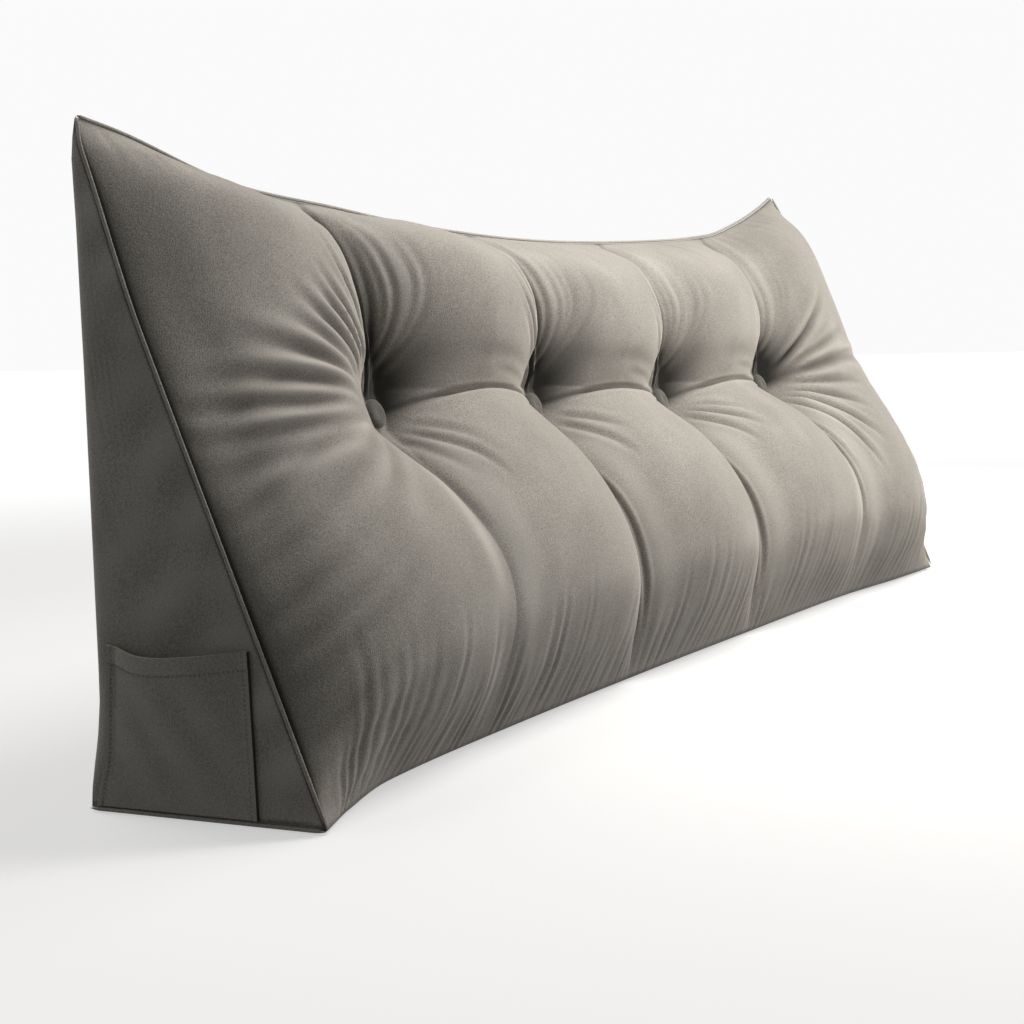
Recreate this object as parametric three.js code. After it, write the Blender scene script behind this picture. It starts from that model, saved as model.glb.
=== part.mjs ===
// A long wedge pillow, filled with soft fibre: a slanted front panel tufted with four covered
// buttons, a plain back and base, two triangular end panels, piped seams and a patch pocket.
// Millimetres, +Z up. The sewn frame has x along the pillow from the left end, y from the back
// panel (the front is at -y) and z from the floor. The group at the end stands it centred.
import * as THREE from "three";

// Driving dimensions
const LENGTH = 1500; // left end panel to right end panel
const HEIGHT = 498; // the seam at the tip of an ear, over the floor
const BASE_DEPTH = 201; // back edge of the base to its front corners
const BACK_CROWN = 12; // how far the filled back stands out past its seams
const PIPING = 2.8; // diameter of the piped cord in the seams
const FIT = 0.3; // gap between two pieces that touch
const CORD_FIT = 0.7; // gap between a piped cord and the seam it follows
const SEAM_LIFT = 3; // the seams round the base turn up this far off the floor

// Buttons and the wells they are drawn into
const BUTTON_RADIUS = 12.8;
const BUTTON_THICKNESS = 7;
const BUTTON_SIDES = 20;
const BUTTON_GAP = 0.6; // between the middle of a button and its seat
const SEAT = 18; // half the width of the flat seat under a button
const SEAT_FADE = 60; // distance over which the creases narrow from the width of the seat

// The front panel between its seams
const CREASE_RADIUS = 20; // how soon the cloth turns up out of a crease
const CREASE_SHARE = 0.45; // part of the rise that happens at once, the rest is a broad crown
const END_ROLL = 190; // distance over which the crown rolls down to an end seam
const END_ROLL_POWER = 0.7;
const LINE_BOW = 9; // how far the crease between two buttons bows up
// Outside the outer buttons the filling passes the row softly: reach is the size of the curve, which
// sets in at a distance from the button over a further distance
const ROW_EASE = { reach: 40, from: 20, over: 90 };
const MERGED = 0.75; // share of the way down at which an end crease has run out

// Soft folds that run out from each button, and gathers that rise from the front seam
const RADIAL = { count: 9, depth: 2.6, from: 24, to: 120 };
const GATHER = { depth: 3.2, reach: 120, waves: [{ length: 52, share: 0.6 }, { length: 83, share: 0.4 }] };

// The end panels are drawn in along the back edge and at the tips of the ears
const EDGE_DRAW = 16;
const DRAWN_FROM = 85; // height at which the back edge is fully drawn in
const PANEL_SET = 8; // the higher, the sooner an end panel comes out of its drawn-in edge
const TIP_FROM = 340; // height above which an end panel leans in to its tip
const TIP_ROUND = { inset: 7, below: 32 }; // the last of an ear, below its tip, is rounded off
const ENDS = [
  { name: "left", outward: -1, tipInset: 12 },
  { name: "right", outward: 1, tipInset: 34 },
];

// Patch pocket on the left end panel, z up the panel and y across it
const CLOTH = 2;
const HEM = { band: 14, thickness: 1, step: 1 };
const POCKET = { bottom: 5.4, frontTop: -143, frontBottom: -146, gape: 15 };
const POCKET_BACK = [
  { at: 0, y: -7 },
  { at: 0.12, y: -10 },
  { at: 0.26, y: -15 },
  { at: 0.5, y: -18 },
  { at: 1, y: -22 },
];
const MOUTH = [
  { at: 0, height: 123 },
  { at: 0.3, height: 118 },
  { at: 0.65, height: 120 },
  { at: 1, height: 124 },
];

// Top seam: at is the share of the length from the left, drop is below the tips of the ears
const TOP_SEAM = [
  { at: 0, drop: 0 },
  { at: 0.05, drop: 11 },
  { at: 0.14, drop: 40 },
  { at: 0.24, drop: 53 },
  { at: 0.34, drop: 65 },
  { at: 0.5, drop: 73 },
  { at: 0.68, drop: 68 },
  { at: 0.82, drop: 56 },
  { at: 0.88, drop: 40 },
  { at: 0.95, drop: 16 },
  { at: 1, drop: 0 },
];
// Front seam on the floor: draw is how far it pulls in from the line of its corners
const FRONT_SEAM = [
  { at: 0, draw: 0 },
  { at: 0.04, draw: 19 },
  { at: 0.1, draw: 39 },
  { at: 0.25, draw: 45 },
  { at: 0.45, draw: 42 },
  { at: 0.6, draw: 36 },
  { at: 0.8, draw: 26 },
  { at: 0.92, draw: 8 },
  { at: 1, draw: 0 },
];
// Height over the floor of the row of buttons, and of the soft folds that carry it on to the ends
const ROW = [
  { at: 0, height: 258 },
  { at: 0.2, height: 269 },
  { at: 0.4, height: 262 },
  { at: 0.6, height: 253 },
  { at: 0.8, height: 258 },
  { at: 1, height: 286 },
];
// Buttons: at along the pillow, seat over the straight panel, and the crests of the two creases
// that run from the button up to the top seam and down to the front seam, each with what is added
// to it farther from the button
const BUTTONS = [
  { at: 300, seat: 4, up: 26, upMore: -8, down: 70, downMore: 12 },
  { at: 600, seat: 2, up: 36, upMore: -10, down: 44, downMore: 0 },
  { at: 900, seat: 1, up: 30, upMore: -12, down: 46, downMore: 0 },
  { at: 1200, seat: 0, up: 26, upMore: -16, down: 65, downMore: 9 },
];
// Crown of each compartment over the straight panel: above the button row, below it, and along it
const COMPARTMENTS = [
  { upper: 58, lower: 84, row: 54 },
  { upper: 76, lower: 86, row: 40 },
  { upper: 72, lower: 86, row: 32 },
  { upper: 68, lower: 88, row: 30 },
  { upper: 57, lower: 81, row: 50 },
];
// How the cloth climbs from the button row (at 0) to its crest and falls to the seam (at 1)
const RISE_UP = [
  { at: 0, rise: 0 },
  { at: 0.1, rise: 0.34 },
  { at: 0.22, rise: 0.7 },
  { at: 0.38, rise: 0.94 },
  { at: 0.55, rise: 1 },
  { at: 0.72, rise: 0.87 },
  { at: 0.88, rise: 0.49 },
  { at: 0.96, rise: 0.16 },
  { at: 1, rise: 0 },
];
const RISE_DOWN = [
  { at: 0, rise: 0 },
  { at: 0.1, rise: 0.3 },
  { at: 0.22, rise: 0.66 },
  { at: 0.36, rise: 0.91 },
  { at: 0.52, rise: 1 },
  { at: 0.68, rise: 0.88 },
  { at: 0.82, rise: 0.57 },
  { at: 0.93, rise: 0.25 },
  { at: 1, rise: 0 },
];

// Where the surface is divided: distances from a button in millimetres, then shares of what is left
const NEAR = [8, 16, 26, 38];
const UP_SHARES = [0.12, 0.28, 0.46, 0.64, 0.8, 0.91, 1];
const DOWN_SHARES = [0.08, 0.2, 0.34, 0.48, 0.62, 0.74, 0.85, 0.93, 1];
const STATION_STEPS = [0, 16, 26, 38, 51, 65, 80, 95, 109, 123, 137, 150];
const END_STEPS = [0, 5, 11, 19, 29, 40, 52, 65, 80, 95, 109, 123, 137];
const BACK_SHARES = [0.08, 0.2, 0.5, 0.8, 0.92];
const BACK_ROLL = 80; // distance from a seam over which the back rises to its flat middle
const BASE_ROLL = 8; // distance from a seam at which the base meets the floor
const CAP_RINGS = [0.94, 0.85, 0.72, 0.35];
const CAP_CENTRE = { y: -BASE_DEPTH / 3, z: HEIGHT / 3 };

const CLOTH_LOOK = { color: 0x8f887c, roughness: 0.95, metalness: 0 };
const TRIM_LOOK = { color: 0xa39b8e, roughness: 0.9, metalness: 0 };

const smooth = (t) => THREE.MathUtils.smoothstep(t, 0, 1);

// Value of a column at one place, on a smooth curve through the rows of a table
function through(rows, column, at) {
  const last = rows.length - 1;
  let i = 0;
  while (i < last - 1 && at > rows[i + 1].at) i += 1;
  const slope = (k) => {
    const before = rows[Math.max(k - 1, 0)];
    const after = rows[Math.min(k + 1, last)];
    return (after[column] - before[column]) / (after.at - before.at);
  };
  const span = rows[i + 1].at - rows[i].at;
  const t = THREE.MathUtils.clamp((at - rows[i].at) / span, 0, 1);
  const startWeight = (1 + 2 * t) * (1 - t) ** 2;
  const endWeight = t * t * (3 - 2 * t);
  const startSlope = slope(i) * span * t * (1 - t) ** 2;
  const endSlope = slope(i + 1) * span * t * t * (t - 1);
  return rows[i][column] * startWeight + rows[i + 1][column] * endWeight + startSlope + endSlope;
}

// The straight line of the front panel at one station: top seam, front seam and button row
function panelAt(station) {
  const share = station / LENGTH;
  const top = new THREE.Vector2(0, HEIGHT - through(TOP_SEAM, "drop", share));
  const bottom = new THREE.Vector2(-BASE_DEPTH + through(FRONT_SEAM, "draw", share), SEAM_LIFT);
  const along = bottom.clone().sub(top);
  const length = along.length();
  along.divideScalar(length);
  const column = Math.min(Math.floor(station / BUTTONS[0].at), BUTTONS.length);
  const inColumn = station / BUTTONS[0].at - column;
  const bowed = column > 0 && column < BUTTONS.length;
  const bow = bowed ? LINE_BOW * Math.sin(Math.PI * inColumn) : 0;
  const rowShare = (top.y - through(ROW, "height", share) - bow) / (top.y - bottom.y);
  return { top, along, normal: new THREE.Vector2(along.y, -along.x), length, row: rowShare * length, column };
}

// Crest, button row and seam, joined by the rise tables
function lengthwise(table, t, crest, row) {
  const base = row * (1 - smooth(t));
  return base + (crest - base) * through(table, "rise", t);
}

// Distance from the row, eased where the filling passes it without a crease
function eased(reach, span, station, aside) {
  const outer = station < BUTTONS[0].at || station >= BUTTONS[BUTTONS.length - 1].at;
  const ease = outer ? ROW_EASE.reach * smooth((Math.abs(aside) - ROW_EASE.from) / ROW_EASE.over) : 0;
  return ((Math.hypot(reach, ease) - ease) * span) / (Math.hypot(span, ease) - ease);
}

// Height of the filled front over its straight line, down being the distance below the button row
function frontHeight(station, panel, down) {
  const button = BUTTONS.reduce((a, b) => (Math.abs(b.at - station) < Math.abs(a.at - station) ? b : a));
  const compartment = COMPARTMENTS[panel.column];
  const aside = station - button.at;
  const upper = down < 0;
  const span = upper ? panel.row : panel.length - panel.row;
  const reach = eased(Math.abs(down), span, station, aside);
  const seatAcross = SEAT * Math.exp(-((reach / SEAT_FADE) ** 2));
  const seatAlong = SEAT * Math.exp(-((aside / SEAT_FADE) ** 2));
  const table = upper ? RISE_UP : RISE_DOWN;
  const t = Math.max(0, reach - seatAlong) / (span - seatAlong);
  const up = button.up + button.upMore * smooth(t);
  const low = button.down + button.downMore * smooth(t / MERGED);
  const crease = lengthwise(table, t, upper ? up : low, button.seat);
  const crown = lengthwise(table, t, upper ? compartment.upper : compartment.lower, compartment.row);
  const away = Math.max(0, Math.abs(aside) - seatAcross);
  const half = BUTTONS[0].at / 2;
  const broad = (1 - Math.min(1, away / half)) ** 2;
  const open = 1 - CREASE_SHARE * Math.exp(-away / CREASE_RADIUS) - (1 - CREASE_SHARE) * broad;
  const toEnd = Math.min(station, LENGTH - station);
  const roll = (1 - (1 - Math.min(1, toEnd / END_ROLL)) ** 2) ** END_ROLL_POWER;
  const filled = (crease + (crown - crease) * open) * roll;
  const folds = radialFold(aside, down, button) + gather(station, span - Math.abs(down), upper);
  return Math.max(0, filled + folds * roll);
}

// Soft folds like spokes round a button
function radialFold(aside, down, button) {
  const distance = Math.hypot(aside, down);
  const t = (distance - RADIAL.from) / (RADIAL.to - RADIAL.from);
  if (t <= 0 || t >= 1) return 0;
  const turn = Math.atan2(down, aside);
  return RADIAL.depth * Math.sin(Math.PI * Math.sqrt(t)) * Math.sin(RADIAL.count * turn + button.at);
}

// Uneven gathers, deepest a little above the front seam
function gather(station, fromSeam, upper) {
  const t = fromSeam / GATHER.reach;
  if (upper || t >= 1) return 0;
  const wave = GATHER.waves.reduce(
    (sum, part) => sum + part.share * Math.sin((2 * Math.PI * station) / part.length),
    0,
  );
  return GATHER.depth * Math.sin(Math.PI * Math.sqrt(Math.max(0, t))) * wave;
}

// How far an end panel is drawn in at one height, and more along its back edge
function tipPull(end, z) {
  const rounded = TIP_ROUND.inset * smooth((z - HEIGHT + TIP_ROUND.below) / TIP_ROUND.below) ** 2;
  return end.tipInset * smooth((z - TIP_FROM) / (HEIGHT - TIP_FROM)) + rounded;
}
function edgeDraw(end, z) {
  const leaning = smooth((z - TIP_FROM) / (HEIGHT - TIP_FROM));
  return EDGE_DRAW * smooth(z / DRAWN_FROM) * (1 - leaning) + tipPull(end, z);
}

// A point of the cover at a station, moved in near each end as its end panel is
function place(station, y, z, onBack) {
  let x = station;
  for (const end of ENDS) {
    const toEnd = end.outward < 0 ? station : LENGTH - station;
    const fade = Math.max(0, 1 - toEnd / END_ROLL) ** 2;
    x -= end.outward * fade * (onBack ? edgeDraw(end, z) : tipPull(end, z));
  }
  return new THREE.Vector3(x, y, z);
}

function frontPoint(station, down) {
  const panel = panelAt(station);
  const height = frontHeight(station, panel, down);
  const run = panel.row + down;
  const y = panel.top.x + panel.along.x * run + panel.normal.x * height;
  const z = panel.top.y + panel.along.y * run + panel.normal.y * height;
  return place(station, y, Math.max(z, SEAM_LIFT), false);
}

function backPoint(station, share) {
  const top = panelAt(station).top.y;
  const z = top + (SEAM_LIFT - top) * share;
  const nearest = Math.min(top - z, z - SEAM_LIFT, station, LENGTH - station);
  return place(station, BACK_CROWN * smooth(nearest / BACK_ROLL), z, true);
}

// Distances below the button row at which the front is divided, from the top seam to the front seam
function frontRows(panel) {
  const far = NEAR[NEAR.length - 1];
  const upSpan = panel.row - far;
  const downSpan = panel.length - panel.row - far;
  const up = [...NEAR, ...UP_SHARES.map((share) => far + share * upSpan)].map((reach) => -reach).reverse();
  return [...up, 0, ...NEAR, ...DOWN_SHARES.map((share) => far + share * downSpan)];
}

// One closed section: down the front, back under the base and up the back
function section(station) {
  const panel = panelAt(station);
  const front = frontRows(panel).map((down) => frontPoint(station, down));
  const frontSeam = front[front.length - 1];
  const flat = Math.min(station, LENGTH - station) > 0 ? 0 : SEAM_LIFT;
  const base = [
    place(station, frontSeam.y + BASE_ROLL, flat, false),
    place(station, -BASE_ROLL, flat, false),
    place(station, 0, SEAM_LIFT, true),
  ];
  const back = BACK_SHARES.map((share) => backPoint(station, 1 - share));
  return [...front, ...base, ...back];
}

// Stations along the pillow, closer together at the creases and the ends
function stations() {
  const list = new Set(END_STEPS);
  for (const button of BUTTONS) {
    for (const step of STATION_STEPS) {
      list.add(button.at - step);
      list.add(button.at + step);
    }
  }
  for (const step of END_STEPS) list.add(LENGTH - step);
  return [...list].sort((a, b) => a - b);
}

function filledCushion() {
  const positions = [];
  const faces = [];
  const push = (point) => positions.push(point.x, point.y, point.z) / 3 - 1;
  const rings = stations().map((station) => section(station).map(push));
  const count = rings[0].length;
  const band = (ring, next) => {
    for (let i = 0; i < count; i += 1) {
      const j = (i + 1) % count;
      faces.push(ring[i], ring[j], next[i], ring[j], next[j], next[i]);
    }
  };
  rings.slice(1).forEach((ring, i) => band(rings[i], ring));

  for (const end of ENDS) {
    let outer = end.outward < 0 ? rings[0] : rings[rings.length - 1];
    const edge = outer.map((i) => new THREE.Vector3().fromArray(positions, 3 * i));
    const panelX = (z) => (end.outward < 0 ? 0 : LENGTH) - end.outward * tipPull(end, z);
    for (const scale of CAP_RINGS) {
      const ring = edge.map((point) => {
        const y = CAP_CENTRE.y + scale * (point.y - CAP_CENTRE.y);
        const z = CAP_CENTRE.z + scale * (point.z - CAP_CENTRE.z);
        const drawn = (point.x - panelX(point.z)) * scale ** PANEL_SET;
        return push(new THREE.Vector3(panelX(z) + drawn, y, z));
      });
      if (end.outward < 0) band(ring, outer);
      else band(outer, ring);
      outer = ring;
    }
    const centre = push(new THREE.Vector3(panelX(CAP_CENTRE.z), CAP_CENTRE.y, CAP_CENTRE.z));
    for (let i = 0; i < count; i += 1) {
      const j = (i + 1) % count;
      if (end.outward < 0) faces.push(centre, outer[j], outer[i]);
      else faces.push(centre, outer[i], outer[j]);
    }
  }
  const geometry = new THREE.BufferGeometry();
  geometry.setAttribute("position", new THREE.Float32BufferAttribute(positions, 3));
  geometry.setIndex(faces);
  geometry.computeVertexNormals();
  return geometry;
}

// Piped cord that lies against a seam, pushed out from it along one direction
const PIPING_STEP = 20;
const PIPING_ARC = 4; // divisions in half the round section
function pipedCord(seam, outward) {
  const offset = outward.clone().setLength(PIPING / 2 + CORD_FIT);
  const path = new THREE.CatmullRomCurve3(seam.map((point) => point.clone().add(offset)));
  const round = new THREE.Shape();
  round.absarc(0, 0, PIPING / 2, 0, 2 * Math.PI);
  const steps = Math.ceil(path.getLength() / PIPING_STEP);
  return new THREE.ExtrudeGeometry(round, {
    steps,
    extrudePath: path,
    curveSegments: PIPING_ARC,
    bevelEnabled: false,
  });
}

const CORD_CLEAR = 9; // cords stop this far short of a corner, where another one passes
const SEAM_POINTS = 40;
function seamPoints(count, pointAt) {
  return Array.from({ length: count + 1 }, (_, i) => pointAt(i / count));
}

const TOP_CORD_SIDE = new THREE.Vector3(0, 0.5, 1); // up, and a little behind the top seam
function topCord() {
  const from = CORD_CLEAR;
  const to = LENGTH - CORD_CLEAR;
  const seam = seamPoints(SEAM_POINTS, (t) => {
    const station = from + (to - from) * t;
    return place(station, 0, panelAt(station).top.y, false);
  });
  return pipedCord(seam, TOP_CORD_SIDE);
}

function slantCord(end) {
  const station = end.outward < 0 ? 0 : LENGTH;
  const { top, along, length } = panelAt(station);
  const seam = seamPoints(SEAM_POINTS / 2, (t) => {
    const run = t * (length - CORD_CLEAR);
    return place(station, top.x + along.x * run, top.y + along.y * run, false);
  });
  return pipedCord(seam, new THREE.Vector3(end.outward, along.y, -along.x));
}

const BASE_CORD_RISE = -0.2; // the cords at the foot of the end panels lie on the floor
function baseCord(end) {
  const x = end.outward < 0 ? 0 : LENGTH;
  const seam = seamPoints(2, (t) => new THREE.Vector3(x, -BASE_DEPTH * (1 - t), SEAM_LIFT));
  return pipedCord(seam, new THREE.Vector3(end.outward, 0, BASE_CORD_RISE));
}

// A cloth-covered button: domed, with a rounded rim and a slight hollow at its middle. The profile
// goes from its back to its face, in shares of its radius and of its thickness.
const BUTTON_PROFILE = [
  { radius: 0, height: 0 },
  { radius: 0.86, height: 0 },
  { radius: 1, height: 0.3 },
  { radius: 0.97, height: 0.62 },
  { radius: 0.8, height: 0.9 },
  { radius: 0.5, height: 1 },
  { radius: 0.2, height: 0.93 },
  { radius: 0, height: 0.88 },
];
function coveredButton() {
  const profile = BUTTON_PROFILE.map(
    ({ radius, height }) => new THREE.Vector2(radius * BUTTON_RADIUS, height * BUTTON_THICKNESS),
  );
  return new THREE.LatheGeometry(profile, BUTTON_SIDES);
}

// Stands a button on its seat, square to the cloth one step to each side of it
const SEAT_STEP = NEAR[0];
function seatButton(mesh, button) {
  const seatAt = frontPoint(button.at, 0);
  const across = frontPoint(button.at + SEAT_STEP, 0).sub(frontPoint(button.at - SEAT_STEP, 0));
  const down = frontPoint(button.at, SEAT_STEP).sub(frontPoint(button.at, -SEAT_STEP));
  const normal = down.cross(across).normalize();
  mesh.quaternion.setFromUnitVectors(new THREE.Vector3(0, 1, 0), normal);
  mesh.position.copy(seatAt).addScaledVector(normal, BUTTON_GAP);
}

// Patch pocket: a sheet sewn down at its sides and foot that gapes at its hemmed mouth
const POCKET_ACROSS = 14;
const POCKET_UP = [0, 0.12, 0.26, 0.42, 0.58, 0.74];
const FLANGE = 0.07; // share of the width that lies flat where it is sewn
const GAPE_ROUND = { across: 0.85, up: 0.9 }; // below 1, the gape is fuller than a plain arch
function pocketSheet() {
  const bulge = (a, b) => {
    const across = Math.sin(Math.PI * THREE.MathUtils.clamp((a - FLANGE) / (1 - 2 * FLANGE), 0, 1));
    const up = Math.sin((Math.PI / 2) * b);
    return POCKET.gape * across ** GAPE_ROUND.across * up ** GAPE_ROUND.up;
  };
  const pointAt = (a, z, mouth, proud) => {
    const b = (z - POCKET.bottom) / (mouth - POCKET.bottom);
    const back = through(POCKET_BACK, "y", b);
    const front = THREE.MathUtils.lerp(POCKET.frontBottom, POCKET.frontTop, b);
    return new THREE.Vector3(-FIT - bulge(a, b) - proud, THREE.MathUtils.lerp(back, front, a), z);
  };
  const positions = [];
  const faces = [];
  const push = (point) => positions.push(point.x, point.y, point.z) / 3 - 1;
  const column = (a) => {
    const mouth = through(MOUTH, "height", a);
    const hem = mouth - HEM.band;
    const heights = POCKET_UP.map((share) => POCKET.bottom + share * (hem - POCKET.bottom));
    const folded = hem + HEM.step;
    const inner = [...heights, hem, folded, mouth].map((z) => push(pointAt(a, z, mouth, 0)));
    const outer = [...heights, hem].map((z) => push(pointAt(a, z, mouth, CLOTH)));
    const hemmed = [folded, mouth].map((z) => push(pointAt(a, z, mouth, CLOTH + HEM.thickness)));
    return [...inner, ...[...outer, ...hemmed].reverse()];
  };
  const columns = seamPoints(POCKET_ACROSS, column);
  const count = columns[0].length;
  for (let c = 0; c < POCKET_ACROSS; c += 1) {
    for (let i = 0; i < count; i += 1) {
      const j = (i + 1) % count;
      const [here, next] = [columns[c], columns[c + 1]];
      faces.push(here[i], here[j], next[i], here[j], next[j], next[i]);
    }
  }
  const half = count / 2;
  for (let i = 0; i < half - 1; i += 1) {
    const [near, far] = [columns[0], columns[POCKET_ACROSS]];
    const [in0, in1, out0, out1] = [i, i + 1, count - 1 - i, count - 2 - i];
    faces.push(near[in0], near[out0], near[in1], near[in1], near[out0], near[out1]);
    faces.push(far[in0], far[in1], far[out0], far[in1], far[out1], far[out0]);
  }
  const geometry = new THREE.BufferGeometry();
  geometry.setAttribute("position", new THREE.Float32BufferAttribute(positions, 3));
  geometry.setIndex(faces);
  geometry.computeVertexNormals();
  return geometry;
}

// The pillow, sewn together
const pillow = new THREE.Group();
function sew(name, geometry, look) {
  const mesh = new THREE.Mesh(geometry, new THREE.MeshStandardMaterial(look));
  mesh.name = name;
  pillow.add(mesh);
  return mesh;
}

sew("cushion", filledCushion(), CLOTH_LOOK);
sew("pocket", pocketSheet(), CLOTH_LOOK);
sew("piping_top", topCord(), TRIM_LOOK);
for (const end of ENDS) {
  sew("piping_slant_" + end.name, slantCord(end), TRIM_LOOK);
  sew("piping_base_" + end.name, baseCord(end), TRIM_LOOK);
}
BUTTONS.forEach((button, i) => {
  seatButton(sew("button_" + (i + 1), coveredButton(), CLOTH_LOOK), button);
});

// The pillow stands on the floor with the middle of its box at the origin
const box = new THREE.Box3().setFromObject(pillow);
const middle = box.getCenter(new THREE.Vector3());
pillow.position.set(-middle.x, -middle.y, -box.min.z);

const model = new THREE.Group();
model.add(pillow);
export default model;
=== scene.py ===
# The look of a long wedge pillow: a slanted front panel tufted with four covered buttons, in
# short-nap velvet, with piped seams, plain back and base, and a patch pocket on its left end.
# Sewing sizes are in millimetres, in the sewn frame: x along the pillow from its left end, y from
# the back panel with the front at -y, z from the floor. Every mesh is in metres, in the row frame.
import math

import bpy
import numpy as np
from mathutils import Matrix, Vector


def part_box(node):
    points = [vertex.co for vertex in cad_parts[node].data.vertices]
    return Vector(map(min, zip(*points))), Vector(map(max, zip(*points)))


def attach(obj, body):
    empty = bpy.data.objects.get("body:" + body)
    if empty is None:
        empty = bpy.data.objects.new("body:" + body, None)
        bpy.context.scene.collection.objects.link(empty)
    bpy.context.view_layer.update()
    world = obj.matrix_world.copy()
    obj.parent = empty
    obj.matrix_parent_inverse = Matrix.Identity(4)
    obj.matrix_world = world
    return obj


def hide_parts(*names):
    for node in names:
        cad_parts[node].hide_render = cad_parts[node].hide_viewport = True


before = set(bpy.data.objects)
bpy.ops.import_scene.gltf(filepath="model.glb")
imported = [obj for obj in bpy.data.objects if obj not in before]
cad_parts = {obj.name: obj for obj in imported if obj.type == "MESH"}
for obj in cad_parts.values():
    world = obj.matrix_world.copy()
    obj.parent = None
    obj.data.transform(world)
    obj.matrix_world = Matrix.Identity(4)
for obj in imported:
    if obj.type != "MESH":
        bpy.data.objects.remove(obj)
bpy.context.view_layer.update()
MM = 0.001


def table(columns, *rows):
    """A short table: an array for each named column."""
    return dict(zip(columns.split(), np.array(rows, float).T))


# Driving dimensions of the sewn pillow
BACK_CROWN = 12
CUSHION_LOW, CUSHION_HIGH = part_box("cushion")
LENGTH = round((CUSHION_HIGH.x - CUSHION_LOW.x) / MM)
HEIGHT = round(CUSHION_HIGH.z / MM)
ORIGIN = np.array([CUSHION_LOW.x, CUSHION_HIGH.y - BACK_CROWN * MM, 0])
BASE_DEPTH = 201
SEAM_LIFT = 3
PIPING = 2.8
CORD_FIT = 0.6
PITCH = 300  # from one button to the next
LAST_BUTTON = 4

# Buttons and the wells they are drawn into
BUTTON_RADIUS = 12.8
BUTTON_THICKNESS = 7
SEAT = 18
SEAT_FADE = 60

# The front panel between its seams
CREASE_RADIUS = 20
CREASE_SHARE = 0.45
END_ROLL = 190
END_ROLL_POWER = 0.7
LINE_BOW = 9
ROW_EASE = {"reach": 40, "from": 20, "over": 90}
MERGED = 0.75  # share of the way down at which an end crease has run out

# End panels
EDGE_DRAW = 16
DRAWN_FROM = 85
PANEL_SET = 8
TIP_FROM = 340
TIP_ROUND = {"inset": 7, "below": 32}
LEFT, RIGHT = {"outward": -1, "tip_inset": 12}, {"outward": 1, "tip_inset": 34}

TOP_SEAM = table(
    "at drop",
    (0, 0), (0.05, 11), (0.14, 40), (0.24, 53), (0.34, 65), (0.5, 73),
    (0.68, 68), (0.82, 56), (0.88, 40), (0.95, 16), (1, 0),
)
FRONT_SEAM = table(
    "at draw",
    (0, 0), (0.04, 19), (0.1, 39), (0.25, 45), (0.45, 42), (0.6, 36), (0.8, 26), (0.92, 8), (1, 0),
)
ROW = table("at height", (0, 258), (0.2, 269), (0.4, 262), (0.6, 253), (0.8, 258), (1, 286))
BUTTONS = table(
    "at seat up up_more down down_more",
    (300, 4, 26, -8, 70, 12), (600, 2, 36, -10, 44, 0), (900, 1, 30, -12, 46, 0),
    (1200, 0, 26, -16, 65, 9),
)
COMPARTMENTS = table(
    "upper lower row",
    (58, 84, 54), (76, 86, 40), (72, 86, 32), (68, 88, 30), (57, 81, 50),
)
RISE_UP = table(
    "at rise",
    (0, 0), (0.1, 0.34), (0.22, 0.7), (0.38, 0.94), (0.55, 1), (0.72, 0.87),
    (0.88, 0.49), (0.96, 0.16), (1, 0),
)
RISE_DOWN = table(
    "at rise",
    (0, 0), (0.1, 0.3), (0.22, 0.66), (0.36, 0.91), (0.52, 1), (0.68, 0.88),
    (0.82, 0.57), (0.93, 0.25), (1, 0),
)


def add_object(name, data):
    piece = bpy.data.objects.new(name, data)
    bpy.context.scene.collection.objects.link(piece)
    return piece


def smooth(t):
    t = np.clip(t, 0, 1)
    return t * t * (3 - 2 * t)


def curve(knots, values, at):
    """Values at each place on a smooth curve through the values at the knots."""
    last = len(knots) - 1
    before = np.maximum(np.arange(last + 1) - 1, 0)
    after = np.minimum(np.arange(last + 1) + 1, last)
    wide = (1,) * (values.ndim - 1)
    slopes = (values[after] - values[before]) / (knots[after] - knots[before]).reshape(-1, *wide)
    i = np.clip(np.searchsorted(knots, at) - 1, 0, last - 1)
    span = (knots[i + 1] - knots[i]).reshape(*np.shape(at), *wide)
    t = np.clip((at - knots[i]).reshape(*np.shape(at), *wide) / span, 0, 1)
    ends = values[i] * (1 + 2 * t) * (1 - t) ** 2 + values[i + 1] * t * t * (3 - 2 * t)
    return ends + span * t * (1 - t) * (slopes[i] * (1 - t) - slopes[i + 1] * t)


def through(rows, column, at):
    return curve(rows["at"], rows[column], at)


def panel_at(station):
    """The straight line of the front panel at each station: top seam, front seam and button row."""
    share = station / LENGTH
    top = HEIGHT - through(TOP_SEAM, "drop", share)
    y = -BASE_DEPTH + through(FRONT_SEAM, "draw", share)
    z = SEAM_LIFT - top
    length = np.hypot(y, z)
    column = np.minimum(station // PITCH, LAST_BUTTON).astype(int)
    bowed = (column > 0) & (column < LAST_BUTTON)
    bow = np.where(bowed, LINE_BOW * np.sin(np.pi * (station / PITCH - column)), 0)
    row = (top - through(ROW, "height", share) - bow) / (top - SEAM_LIFT) * length
    along = np.stack([y / length, z / length])
    return {"top": top, "along": along, "length": length, "row": row, "column": column}


def lengthwise(rise, t, crest, row):
    base = row * (1 - smooth(t))
    return base + (crest - base) * rise


def end_roll(station):
    to_end = np.minimum(station, LENGTH - station)
    return (1 - (1 - np.minimum(1, to_end / END_ROLL)) ** 2) ** END_ROLL_POWER


def eased(reach, span, ease):
    """Distance from the row, eased where the filling passes it without a crease."""
    return (np.hypot(reach, ease) - ease) * span / (np.hypot(span, ease) - ease)


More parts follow.
